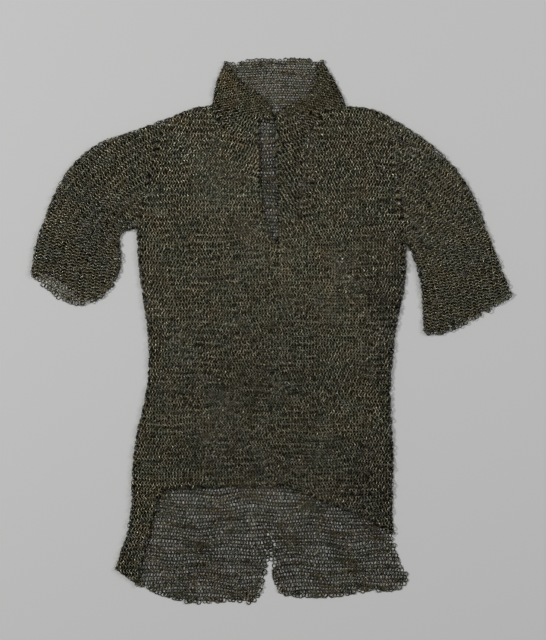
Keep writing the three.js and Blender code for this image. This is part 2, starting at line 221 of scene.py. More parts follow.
@dataclass
class Outline:
    """The edge of one layer, with what each stretch of it is."""

    start: Points
    end: Points
    outward: Points
    kind: np.ndarray

    PROBE_IN = 0.4  # how far inside the edge the wall's thickness is read
    PROBE_OUT = 1.6  # and how far outside it the next panel is looked for
    THINNED = 3.2  # a wall thinner than this at its edge bends round a fold

    @classmethod
    def of_layer(cls, top: Facing, bottom: Facing, neighbours: Facing | None) -> "Outline":
        """Finds the edges of a wall and tells folds, seams and free edges apart.

        Args:
            top: The wall's upper side.
            bottom: Its underside.
            neighbours: The upper sides of the panels that the mail runs on into.

        Returns:
            The outline.
        """
        segments = top.rim()
        start, end = segments[:, 0], segments[:, 1]
        along = unit(end - start)
        outward = np.stack([along[:, 1], -along[:, 0]], axis=1)
        middle = (start + end) / 2
        inner = middle - outward * cls.PROBE_IN
        thick = top.at(inner)[1] - bottom.at(inner)[1]
        kind = np.where(thick < cls.THINNED, Edge.FOLD.value, Edge.FREE.value)
        if neighbours is not None:
            kind[neighbours.at(middle + outward * cls.PROBE_OUT)[0]] = Edge.SEAM.value
        return cls(start, end, outward, kind)

    def distance(self, places: Points, kind: Edge) -> np.ndarray:
        """How far each place is from the nearest edge of a kind.

        Args:
            places: Points in plan.
            kind: The kind of edge.

        Returns:
            Distances, very large where there is no such edge.
        """
        some = self.kind == kind.value
        if not some.any():
            return np.full(len(places), FAR)
        start, run = self.start[some], (self.end - self.start)[some]
        away = places[:, None] - start[None]
        share = np.clip((away * run).sum(2) / np.maximum((run * run).sum(1), NO_LENGTH), 0, 1)
        return np.linalg.norm(away - share[..., None] * run, axis=2).min(axis=1)

    def walk(self, spacing: float, kind: Edge) -> tuple[Points, Points, np.ndarray]:
        """Places at an even spacing along the edges of a kind.

        Args:
            spacing: Distance from place to place.
            kind: The kind of edge.

        Returns:
            The places, the outward directions there and each place's running number.
        """
        length = np.linalg.norm(self.end - self.start, axis=1)
        reach = np.concatenate([[0], np.cumsum(length)])
        steps = np.arange(spacing / 2, reach[-1], spacing)
        segment = np.clip(np.searchsorted(reach, steps) - 1, 0, len(length) - 1)
        share = ((steps - reach[segment]) / length[segment])[:, None]
        places = self.start[segment] * (1 - share) + self.end[segment] * share
        some = self.kind[segment] == kind.value
        return places[some], self.outward[segment][some], np.flatnonzero(some)


# ---- how the rows run


@dataclass(frozen=True)
class RingSize:
    """One size of ring and the knit it makes."""

    outer: float  # diameter over the wire
    wire: float  # how broad the hammered wire is
    high: float  # how thick it is
    pitch: float  # from ring to ring along a row
    row: float  # from row to row
    lean: float = 25.0  # degrees that a ring leans along its row

    @property
    def radius(self) -> float:
        """Radius of the wire's centre line."""
        return (self.outer - self.wire) / 2

    @property
    def cell(self) -> float:
        """The plan area that one ring serves."""
        return self.pitch * self.row


@dataclass(frozen=True)
class Drift:
    """A place beside which the rows sag, most at x and fading over reach on one side of it."""

    x: float
    side: int  # 1 fades towards +X, -1 towards -X
    reach: float
    low: float  # the sag starts above this level
    high: float  # and is whole above this one
    sag: float


@dataclass(frozen=True)
class Zone:
    """A round or oval region of the plan, and whether it is meant from inside or outside."""

    x: float
    y: float
    across: float
    up: float
    turn: float = 0.0  # degrees that the oval is turned
    inside: bool = True

    def share(self, places: Points) -> np.ndarray:
        """The square of how far out each place is: 0 in the middle and 1 on the oval.

        Args:
            places: Points in plan.

        Returns:
            The squares.
        """
        turn = math.radians(self.turn)
        x, y = places[:, 0] - self.x, places[:, 1] - self.y
        along = x * math.cos(turn) + y * math.sin(turn)
        aside = y * math.cos(turn) - x * math.sin(turn)
        return (along / self.across) ** 2 + (aside / self.up) ** 2

    def holds(self, places: Points) -> np.ndarray:
        """Which places the zone holds."""
        return (self.share(places) < 1) == self.inside


@dataclass(frozen=True)
class Looseness:
    """How unevenly a stretch of mail lies."""

    along: float = 0.22  # spread of the rings' places along a row
    across: float = 0.26
    wander: float = 0.45  # how far a row strays from its level
    lift: float = 0.14
    sway: float = 7.5  # degrees of spread in how the rings tip across the row
    lean: float = 6.0  # and along it

    STRAY_LENGTH = 29.0  # along a row for one radian of its straying
    SHIFT = 0.1  # share of a pitch that a whole row is moved along


def waves(table: tuple[tuple[float, ...], ...], x: np.ndarray, y: np.ndarray) -> np.ndarray:
    """The sum of a table's slow sine waves, each share * sin(x / length + y / length + phase)."""
    return sum(share * np.sin(x / across + y / up + phase) for share, across, up, phase in table)


@dataclass(frozen=True)
class RowFlow:
    """Rows that run across the panel, turned by a heading, with slow waves and sags in them."""

    heading: float = 0.0
    wave: float = 1.4
    arch: float = 0.0  # how far the rows' middle stands above their ends, 100 mm away
    shift: float = 0.0  # share of a row that the rows stand higher
    drifts: tuple[Drift, ...] = ()
    zone: Zone | None = None  # the part of the panel that has these rows
    loose: Looseness = Looseness()

    WAVES = ((1.0, 41, 67, 0), (0.7, 23, -38, 1.3), (0.5, 13.7, 19, 2.1))  # share, lengths, phase
    ARCH_SPAN = 100.0
    REACH = 1.5  # how far the lattice goes, in the box's farthest corner's own distance
    OVERLAP = 2.0  # how far past its place a sag begins

    def lattice(self, box: np.ndarray, size: RingSize) -> tuple[np.ndarray, np.ndarray, np.ndarray]:
        """Ring places along and across the rows, over a box in plan.

        Args:
            box: Lowest and highest corner.
            size: The ring's size.

        Returns:
            The places along, the levels across and the rows' numbers.
        """
        reach = np.abs(box).max() * self.REACH
        rows = np.arange(math.ceil(-reach / size.row), math.floor(reach / size.row) + 1)
        count = np.arange(math.ceil(-reach / size.pitch), math.floor(reach / size.pitch) + 1)
        number, along = np.meshgrid(rows, count, indexing="ij")
        step = (along + (number % 2) / 2 + self.shift / 2) * size.pitch
        return step.ravel(), ((number + self.shift) * size.row).ravel(), number.ravel()

    def place(self, along: np.ndarray, across: np.ndarray) -> Points:
        """Turns places along and across the rows into plan places.

        The level is moved by three slow sine waves, an arch that is a parabola, and by each sag, which
        fades as exp(-distance / reach).

        Args:
            along: Places along the rows.
            across: Levels across them.

        Returns:
            Points in plan.
        """
        turn = math.radians(self.heading)
        x = along * math.cos(turn) - across * math.sin(turn)
        y = along * math.sin(turn) + across * math.cos(turn)
        lift = self.wave * waves(self.WAVES, x, y)
        lift -= self.arch * (along / self.ARCH_SPAN) ** 2
        for drift in self.drifts:
            beyond = (x - drift.x) * drift.side
            near = (beyond > -self.OVERLAP) * np.exp(-np.maximum(beyond, 0) / drift.reach)
            lift -= drift.sag * near * smooth_step(y, drift.low, drift.high)
        return np.stack([x - lift * math.sin(turn), y + lift * math.cos(turn)], axis=1)


@dataclass(frozen=True)
class BendFlow:
    """Rows that bend round a far pivot, as those of a sleeve do from the shoulder to the cuff."""

    x: float
    y: float
    start: float  # degrees, where the counting begins
    stop: float
    wave: float = 1.3
    zone: Zone | None = None
    loose: Looseness = Looseness()

    WAVES = ((1.0, 1 / 9, 33, 0), (0.6, 1 / 21, -17, 0))  # along the angle and the radius
    FIRST_ROW = 4  # the rows nearer the pivot are too tight to lay

    def lattice(self, box: np.ndarray, size: RingSize) -> tuple[np.ndarray, np.ndarray, np.ndarray]:
        """Ring places along each bent row, counted along the row itself.

        Args:
            box: Lowest and highest corner in plan.
            size: The ring's size.

        Returns:
            The distances run along the rows, their radii and their numbers.
        """
        corners = np.array([[box[i, 0], box[j, 1]] for i in (0, 1) for j in (0, 1)])
        reach = np.linalg.norm(corners - [self.x, self.y], axis=1).max()
        rows = np.arange(self.FIRST_ROW, math.ceil(reach / size.row))
        sweep = math.radians(abs(self.stop - self.start))
        count = (rows * size.row * sweep / size.pitch).astype(int)
        number = np.repeat(rows, count)
        step = np.concatenate([np.arange(c) for c in count])
        return (step + (number % 2) / 2) * size.pitch, number * size.row, number

    def place(self, along: np.ndarray, across: np.ndarray) -> Points:
        """The point at a distance along a circle round the pivot, its radius eased by two slow waves.

        Args:
            along: Distances along the rows.
            across: Radii.

        Returns:
            Points in plan.
        """
        angle = math.radians(self.start) + along / across * math.copysign(1, self.stop - self.start)
        radius = across + self.wave * waves(self.WAVES, angle, across)
        return np.stack([self.x + radius * np.cos(angle), self.y + radius * np.sin(angle)], axis=1)


# ---- rings


SEEN = (6, 3)  # stations along a ring's wire and corners of its section
COVERED = (5, 3)


@dataclass
class Rings:
    """Many rings: where each is, how it stands and how it is finished."""

    centre: Vectors
    normal: Vectors  # out of the cloth
    along: Vectors  # along the row
    lean: np.ndarray  # radians towards along
    size: RingSize
    cut: tuple[int, int]
    loose: Looseness
    rubbed: float = 1.0  # how strongly the crown takes worn colour and painted highlight, and the low wire painted shade; below 0 the sides swap and the upper side is in painted shade

    CORNERS = 0.6  # over its number of sides, how far a polygon's corners stand outside its circle
    RADIUS_SPREAD = 0.018
    WIRE_SPREAD = 0.06
    OVAL_SPREAD = 0.03
    LAP = 0.3  # how much thicker the wire is where its ends overlap

    def __len__(self) -> int:
        """How many rings there are."""
        return len(self.centre)

    def only(self, some: np.ndarray) -> "Rings":
        """The rings that a mask names."""
        kept = {key: getattr(self, key)[some] for key in ("centre", "normal", "along", "lean")}
        return replace(self, **kept)

    def surface(self, dice: np.random.Generator) -> dict[str, np.ndarray]:
        """Works out every ring's wire.

        A ring's axis is the cloth's normal tipped along the row. Its wire runs round the axis at the
        wire's mean radius, with a few-sided section, thicker at one station where the ends overlap and
        are riveted. The rings are then lifted until none is below the floor.

        Args:
            dice: The seeded source of the small differences between rings.

        Returns:
            The vertices, their quads and their marks, as arrays.
        """
        n, (around, section) = len(self), self.cut
        side = np.cross(self.normal, self.along)
        sway = dice.normal(0, math.radians(self.loose.sway), n)
        lean = self.lean + dice.normal(0, math.radians(self.loose.lean), n)
        upright, ahead = self.normal * np.cos(lean)[:, None], self.along * np.sin(lean)[:, None]
        axis = unit(upright + ahead + side * np.sin(sway)[:, None])
        first = unit(self.along - axis * (self.along * axis).sum(1, keepdims=True))
        second = np.cross(axis, first)
        corner, girth = 1 + self.CORNERS / around, 1 + self.CORNERS / section
        radius = self.size.radius * corner * dice.normal(1, self.RADIUS_SPREAD, n)
        thickness = girth / 2 * dice.normal(1, self.WIRE_SPREAD, n)
        oval = dice.normal(0, self.OVAL_SPREAD, n)

        spin = dice.uniform(0, TURN, n)[:, None]
        turn = spin + np.arange(around) / around * TURN
        radial = np.cos(turn)[..., None] * first[:, None] + np.sin(turn)[..., None] * second[:, None]
        out = radius[:, None] * (1 + oval[:, None] * np.cos(2 * turn))
        spine = self.centre[:, None] + radial * out[..., None]
        lap = np.zeros((n, around))
        lap[:, 0] = 1
        thick = thickness[:, None] * (1 + self.LAP * lap)

        facet = math.copysign(math.pi / 2, self.rubbed) + np.arange(section) / section * TURN
        broad, high = self.size.wire * np.cos(facet)[:, None], self.size.high * np.sin(facet)[:, None]
        offset = broad * radial[:, :, None] + high * axis[:, None, None]
        places = spine[:, :, None] + thick[:, :, None, None] * offset
        sunk = np.maximum(FLOOR_CLEARANCE - places[..., 2].reshape(n, -1).min(axis=1), 0)
        places[..., 2] += sunk[:, None, None]

        # A vertex's height over its ring's middle, signed and scaled per layer: the finish paints shade where
        # it is low, and a highlight with the wear where it is high.
        crown = self.rubbed * ((places - self.centre[:, None, None]) * self.normal[:, None, None]).sum(-1)
        ring = np.arange(n)[:, None, None] * around * section
        station = ring + np.arange(around)[:, None] * section
        onward = ring + (np.arange(around)[:, None] + 1) % around * section
        facets = np.arange(section)
        beside = (facets + 1) % section
        quads = np.stack([station + facets, onward + facets, onward + beside, station + beside], axis=-1)
        tone = np.broadcast_to(dice.uniform(0, 1, n)[:, None, None], crown.shape)
        lapped = np.broadcast_to(lap[:, :, None], crown.shape)
        return {
            "places": places.reshape(-1, 3),
            "quads": quads.reshape(-1, 4),
            "crown": crown.ravel(),
            "tone": tone.ravel(),
            "lap": lapped.ravel(),
            "grid": np.broadcast_to(np.array([around, section]), (n, 2)),
        }


# ---- one layer of mail


@dataclass
class Layer:
    """One wall of the frame filled with rows of rings."""

    name: str
    top: Facing
    outline: Outline
    flows: tuple[RowFlow | BendFlow, ...]
    size: RingSize
    seed: int
    makes_folds: bool = False
    cover: Facing | None = None  # what lies on it
    rubbed: float = 1.0  # how strongly its crowns take worn colour and painted highlight, and its low wire painted shade
    bare: tuple[Zone, ...] = ()  # where this layer is worn away
    uncovered: tuple[Zone, ...] = ()  # where the layer that lay on it is worn away
    edge_inset: float = 0.27  # how far in from a free edge its loose rings lie, in ring widths

    BOX_MARGIN = 1.0
    PROBE = 0.5  # how far along a row its direction is read
    FREE_MARGIN = 0.39  # the least distance to a free edge, in ring widths
    FOLD_MARGIN = 0.36
    FOLD_SPACING = 0.8  # from one standing ring to the next, in rows
    FOLD_TIP = 0.25  # radians that a standing ring is tipped back
    FOLD_SPREAD = 0.45
    FOLD_INSET = 0.3  # how far a standing ring stays inside the fold, in wire widths
    FOLD_RISE = 0.3  # how far its middle stands above the lower layer, give or take as much
    EDGE_SPACING = 1.08  # from one loose ring to the next, in pitches
    EDGE_KEPT = 0.72  # the share of those places that still have their ring
    EDGE_SPREAD = 0.1
    EDGE_LEAN = 13.0  # degrees
    EDGE_FOOT = 0.6  # how far inside the edge the wall's height is read

    def __post_init__(self) -> None:
        """Starts the layer's own source of chance."""
        self.dice = np.random.default_rng(self.seed)

    def stand(
        self, places: Points, footing: Points, tangent: Points, lean: np.ndarray, loose: Looseness
    ) -> Rings:
        """Stands rings at plan places on the layer.

        Args:
            places: Where the rings go.
            footing: The places on the wall whose height and normal they take.
            tangent: The row's direction in plan at each.
            lean: How far each leans along its row, in radians.
            loose: How unevenly they lie.

        Returns:
            The rings, their middles half a layer below the wall's top.
        """
        _, height, normal = self.top.at(footing)
        flat = np.concatenate([tangent, np.zeros((len(tangent), 1))], axis=1)
        along = unit(flat - normal * (flat * normal).sum(1, keepdims=True))
        lift = self.dice.normal(0, loose.lift, len(places))
        centre = np.concatenate([places, height[:, None]], axis=1) - normal * (LAYER / 2 - lift)[:, None]
        return Rings(centre, normal, along, lean, self.size, SEEN, loose, self.rubbed)

    def flow_rings(self, flow: RowFlow | BendFlow) -> list[Rings]:
        """The rings of one flow of rows, inside the layer's outline.

        Args:
            flow: How the rows run.

        Returns:
            The rings that show and, where another layer lies on this one, the plainer ones under it, turned
            over so that their upper sides take painted shade.
        """
        corners = self.top.corners[..., :2]
        box = np.stack([corners.min((0, 1)), corners.max((0, 1))])
        u, v, number = flow.lattice(box, self.size)
        row, loose = number - number.min(), flow.loose
        shift = self.dice.uniform(-loose.SHIFT, loose.SHIFT, row.max() + 1) * self.size.pitch
        phase = self.dice.uniform(0, TURN, row.max() + 1)
        u = u + shift[row] + self.dice.normal(0, loose.along, len(u))
        stray = loose.wander * np.sin(u / loose.STRAY_LENGTH + phase[row])
        v = v + stray + self.dice.normal(0, loose.across, len(v))
        places = flow.place(u, v)
        keep = ((places > box[0] - self.BOX_MARGIN) & (places < box[1] + self.BOX_MARGIN)).all(axis=1)
        if flow.zone is not None:
            keep &= flow.zone.holds(places)
        for worn in self.bare:
            keep &= ~worn.holds(places)
        keep[keep] &= self.top.at(places[keep])[0]
        for kind, margin in ((Edge.FREE, self.FREE_MARGIN), (Edge.FOLD, self.FOLD_MARGIN)):
            keep[keep] &= self.outline.distance(places[keep], kind) > margin * self.size.outer
        u, v, number, places = u[keep], v[keep], number[keep], places[keep]
        tangent = unit(flow.place(u + self.PROBE, v) - flow.place(u - self.PROBE, v))
        lean = math.radians(self.size.lean) * np.where(number % 2, 1.0, -1.0)
        rings = self.stand(places, places, tangent, lean, loose)
        if self.cover is None:
            return [rings]
        under = self.cover.at(places)[0]
        for gap in self.uncovered:
            under &= ~gap.holds(places)
        covered = rings.only(under)
        # Turned over: the covered rings' upper sides get painted shade from the layer on top, their
        # undersides the worn colour and painted highlight.
        covered.cut, covered.rubbed = COVERED, -1
        return [rings.only(~under), covered]

    def fold_rings(self) -> Rings:
        """The line of rings that stand round the layer's folded edges.

        A ring's normal points out of the fold, tipped up by a random angle, and its row runs over the
        edge. One ring leans up and the next leans down.

        Returns:
            The rings.
        """
        places, outward, number = self.outline.walk(self.size.row * self.FOLD_SPACING, Edge.FOLD)
        tip = self.dice.normal(self.FOLD_TIP, self.FOLD_SPREAD, len(places))
        level, rise = np.cos(tip)[:, None], np.sin(tip)[:, None]
        normal = np.concatenate([outward * level, rise], axis=1)
        along = np.concatenate([-outward * rise, level], axis=1)
        inset = self.size.radius * np.abs(np.sin(tip)) + self.size.wire * self.FOLD_INSET
        inner = places - outward * inset[:, None]
        lean = math.radians(self.size.lean) * np.where(number % 2, 1.0, -1.0)
        height = self.dice.normal(LAYER + self.FOLD_RISE, self.FOLD_RISE, len(places))[:, None]
        centre = np.concatenate([inner, height], axis=1)
        return Rings(centre, normal, along, lean, self.size, SEEN, Looseness(), self.rubbed)

    def edge_rings(self) -> Rings:
        """Rings that hang loose along the free edges and make them ragged.

        Returns:
            The rings, lying flatter than the others.
        """
        places, outward, _ = self.outline.walk(self.size.pitch * self.EDGE_SPACING, Edge.FREE)
        some = self.dice.uniform(0, 1, len(places)) < self.EDGE_KEPT
        places, outward = places[some], outward[some]
        for worn in self.bare:
            there = ~worn.holds(places)
            places, outward = places[there], outward[there]
        inset = self.dice.normal(self.edge_inset, self.EDGE_SPREAD, len(places))[:, None] * self.size.outer
        tangent = np.stack([-outward[:, 1], outward[:, 0]], axis=1)
        lean = self.dice.normal(0, math.radians(self.EDGE_LEAN), len(places))
        footing = places - outward * self.EDGE_FOOT
        return self.stand(places - outward * inset, footing, tangent, lean, Looseness())

    def rings(self) -> list[Rings]:
        """All the layer's rings.

        Returns:
            A set for each flow of rows, for the free edges and for the folds.
        """
        made = [rings for flow in self.flows for rings in self.flow_rings(flow)]
        made.append(self.edge_rings())
        if self.makes_folds:
            made.append(self.fold_rings())
        return [rings for rings in made if len(rings)]


# ---- finishes


@dataclass(frozen=True)
class Stain_and_shade:
    """A soft-edged place where the iron is painted darker; most are stains, the two by the neck slit are
    painted shade.
    """

    zone: Zone
    depth: float


STAINS_AND_SHADE = (
    Stain_and_shade(Zone(-292, 176, 44, 52), 0.3),
    # Painted shadow: the dark band beside the right edge of the neck slit.
    Stain_and_shade(Zone(44, 262, 26, 74), 0.42),
    Stain_and_shade(Zone(-10, -70, 240, 130), 0.42),
    Stain_and_shade(Zone(10, -225, 260, 64), 0.46),
    Stain_and_shade(Zone(176, -280, 70, 100), 0.68),
    Stain_and_shade(Zone(205, 20, 52, 180), 0.5),
    # Painted shade: the back seen down the neck slit.
    Stain_and_shade(Zone(-3, 290, 15, 90), 0.45),
    Stain_and_shade(Zone(150, 300, 110, 90), 0.24),
    Stain_and_shade(Zone(0, -410, 330, 70), 0.3),
)


@dataclass(frozen=True)
class MailIron:
    """Browned iron rings, dark and greasy, with painted shade low on the wire and the crowns lighter from
    wear and a painted highlight.
    """

    name: str
    brown: tuple[float, float, float]
    olive: tuple[float, float, float]
    # The worn colour is rubbed metal on the crowns and also their painted highlight.
    worn: tuple[float, float, float]
    metallic: float = 0.85
    roughness: float = 0.38
    bump: float = 0.22
    bump_depth: float = 0.15

    def material(self) -> bpy.types.Material:
        """Builds the finish.

        Returns:
            A node material that reads Object coordinates and the rings' own marks.
        """
        made = bpy.data.materials.new(self.name)
        made.use_nodes = True
        nodes, links = made.node_tree.nodes, made.node_tree.links
        shader = nodes["Principled BSDF"]
        coords = nodes.new("ShaderNodeTexCoord")

        patina = nodes.new("ShaderNodeGroup")
        patina.node_tree = patina_group()
        for tint in ("brown", "olive", "worn"):
            patina.inputs[tint.capitalize()].default_value = (*getattr(self, tint), 1)
        for socket in ("crown", "tone", "lap", "stain_and_shade"):
            mark = nodes.new("ShaderNodeAttribute")
            mark.attribute_name = socket
            links.new(mark.outputs["Fac"], patina.inputs[socket.capitalize()])
        links.new(coords.outputs["Object"], patina.inputs["Place"])
        links.new(patina.outputs["Colour"], shader.inputs["Base Color"])

        pitting = nodes.new("ShaderNodeGroup")
        pitting.node_tree = pitting_group()
        pitting.inputs["Roughness"].default_value = self.roughness
        links.new(coords.outputs["Object"], pitting.inputs["Place"])
        links.new(patina.outputs["Wear_and_sheen"], pitting.inputs["Wear_and_sheen"])
        links.new(pitting.outputs["Roughness"], shader.inputs["Roughness"])
        bump = nodes.new("ShaderNodeBump")
        bump.inputs["Strength"].default_value = self.bump
        bump.inputs["Distance"].default_value = self.bump_depth * METRE
        links.new(pitting.outputs["Height"], bump.inputs["Height"])
        links.new(bump.outputs["Normal"], shader.inputs["Normal"])
        shader.inputs["Metallic"].default_value = self.metallic
        return made


def new_group(name: str, inputs: dict[str, str], outputs: dict[str, str]) -> bpy.types.NodeTree:
    """An empty shader group with named sockets.

    Args:
        name: The group's name.
        inputs: Input names and the kinds of their sockets.
        outputs: Output names and kinds.

    Returns:
        The group, with a Group Input and a Group Output node in it.
    """
    group = bpy.data.node_groups.new(name, "ShaderNodeTree")
    for way, sockets in (("INPUT", inputs), ("OUTPUT", outputs)):
        for label, kind in sockets.items():
            group.interface.new_socket(label, in_out=way, socket_type=f"NodeSocket{kind}")
    group.nodes.new("NodeGroupInput")
    group.nodes.new("NodeGroupOutput")
    return group


Ramp = tuple[float, float, float, float]  # from least and most, to least and most
Grain = tuple[float, float, float]  # a noise's scale to the metre, its detail and its roughness


@dataclass
class Wiring:
    """Short ways of adding nodes to a group."""

    group: bpy.types.NodeTree

    def feed(self, socket: Socket, value: Socket | float) -> None:
        """Gives an input a number or a link.

        Args:
            socket: The input.
            value: What goes into it.
        """
        if isinstance(value, float):
            socket.default_value = value
        else:
            self.group.links.new(value, socket)

    def node(self, kind: str, labels: str, values: Ramp | Grain) -> bpy.types.Node:
        """A new node with some of its inputs set.

        Args:
            kind: Its kind.
            labels: The inputs' names, with commas between.
            values: Their values.

        Returns:
            The node.
        """
        node = self.group.nodes.new(f"ShaderNode{kind}")
        for label, value in zip(labels.split(", "), values, strict=True):
            node.inputs[label].default_value = value
        return node

    def noise(self, place: Socket, grain: Grain) -> Socket:
        """A noise texture's value at a place."""
        node = self.node("TexNoise", "Scale, Detail, Roughness", grain)
        self.feed(node.inputs["Vector"], place)
        return node.outputs["Fac"]

    def ramp(self, value: Socket, shape: Ramp) -> Socket:
        """A value carried smoothly from one range to another."""
        node = self.node("MapRange", "From Min, From Max, To Min, To Max", shape)
        node.interpolation_type = "SMOOTHSTEP"
        self.feed(node.inputs["Value"], value)
        return node.outputs["Result"]

    def sum(self, kind: str, a: Socket | float, b: Socket | float) -> Socket:
        """One arithmetic step, clamped to 0..1 where it adds.

        Args:
            kind: The step, as the node names it.
            a: The first value.
            b: The second.

        Returns:
            What comes out.
        """
        node = self.group.nodes.new("ShaderNodeMath")
        node.operation = kind
        node.use_clamp = kind == "ADD"
        self.feed(node.inputs[0], a)
        self.feed(node.inputs[1], b)
        return node.outputs["Value"]

    def mix(self, share: Socket | float, a: Socket, b: Socket, blend: str = "MIX") -> Socket:
        """Two colours mixed by a share.

        Args:
            share: How much of the second there is.
            a: The first colour.
            b: The second.
            blend: The way of mixing, as the node names it.

        Returns:
            The colour.
        """
        node = self.group.nodes.new("ShaderNodeMix")
        node.data_type = "RGBA"
        node.blend_type = blend
        self.feed(node.inputs["Factor"], share)
        self.feed(node.inputs[6], a)  # the colour A, which shares its name with other inputs
        self.feed(node.inputs[7], b)
        return node.outputs[2]


# How the colour varies.
PATCH_GRAIN, PATCH = (26, 3, 0.55), (0.36, 0.64, 0, 1)  # from brown to olive
CLOUD_GRAIN, CLOUD = (11, 4, 0.55), (0.3, 0.7, 0.84, 1.14)
SPOT_GRAIN, SPOT = (420, 2, 0.55), (0.42, 0.7, 0.25, 1)
RING = (0, 1, 0.62, 1.38)  # how light each ring is
DEPTH_SHADE_AND_CROWN_LIGHT = (-0.7, 1.8, 0.07, 1.4)  # painted shade with grime on the wire's lowest side, up to painted light on its crown
RUB_AND_SHEEN = (1.0, 2.3, 0, 0.9)  # how much worn colour a crown takes: rubbed metal and a painted highlight
LAP_RUB = 0.2
# And the wire's skin.
PIT_GRAIN = (1700, 3, 0.6)
SCALE_GRAIN, SCALE = (600, 2, 0.55), (0.35, 0.7, -0.08, 0.16)  # what its scale adds to the roughness
SMOOTHED = (0, 1, 1, 0.78)  # and what the rubbing leaves of it


@cache
def patina_group() -> bpy.types.NodeTree:
    """Old mail's colour: brown and olive patches, differences from ring to ring, stains, painted shade and
    worn crowns with a painted highlight.

    Returns:
        The group, built once.
    """
    inputs = {"Place": "Vector", "Brown": "Color", "Olive": "Color", "Worn": "Color"}
    inputs |= {"Crown": "Float", "Tone": "Float", "Lap": "Float", "Stain_and_shade": "Float"}
    group = new_group("mail_patina", inputs, {"Colour": "Color", "Wear_and_sheen": "Float"})
    add = Wiring(group)
    given, ends = group.nodes["Group Input"].outputs, group.nodes["Group Output"].inputs
    patch = add.ramp(add.noise(given["Place"], PATCH_GRAIN), PATCH)
    base = add.mix(patch, given["Brown"], given["Olive"])
    rings = add.ramp(given["Tone"], RING)
    cloud = add.ramp(add.noise(given["Place"], CLOUD_GRAIN), CLOUD)
    free_of_stain_and_shade = add.sum("SUBTRACT", 1.0, given["Stain_and_shade"])
    depth = add.ramp(given["Crown"], DEPTH_SHADE_AND_CROWN_LIGHT)
    light = add.sum("MULTIPLY", add.sum("MULTIPLY", rings, cloud), add.sum("MULTIPLY", free_of_stain_and_shade, depth))
    grey = group.nodes.new("ShaderNodeCombineColor")
    for channel in grey.inputs:
        add.feed(channel, light)
    toned = add.mix(1.0, base, grey.outputs[0], "MULTIPLY")
    # The crowns take the worn colour: rubbed metal, and a painted highlight.
    rubbed = add.ramp(given["Crown"], RUB_AND_SHEEN)
    spots = add.ramp(add.noise(given["Place"], SPOT_GRAIN), SPOT)
    wear_and_sheen = add.sum("MULTIPLY", rubbed, spots)
    wear_and_sheen = add.sum("ADD", wear_and_sheen, add.sum("MULTIPLY", given["Lap"], LAP_RUB))
    add.feed(ends["Colour"], add.mix(wear_and_sheen, toned, given["Worn"]))
    add.feed(ends["Wear_and_sheen"], wear_and_sheen)
    return group


@cache
def pitting_group() -> bpy.types.NodeTree:
    """The skin of old wire: pits for the bump, and a scaly roughness that the rubbing brings down.

    Returns:
        The group, built once.
    """
    inputs = {"Place": "Vector", "Wear_and_sheen": "Float", "Roughness": "Float"}
    group = new_group("mail_pitting", inputs, {"Height": "Float", "Roughness": "Float"})
    add = Wiring(group)
    given, ends = group.nodes["Group Input"].outputs, group.nodes["Group Output"].inputs
    pits = add.noise(given["Place"], PIT_GRAIN)
    scale = add.noise(given["Place"], SCALE_GRAIN)
    rough = add.sum("ADD", given["Roughness"], add.ramp(scale, SCALE))
    smooth = add.ramp(given["Wear_and_sheen"], SMOOTHED)
    add.feed(ends["Roughness"], add.sum("MULTIPLY", rough, smooth))
    add.feed(ends["Height"], pits)
    return group


# ---- pieces


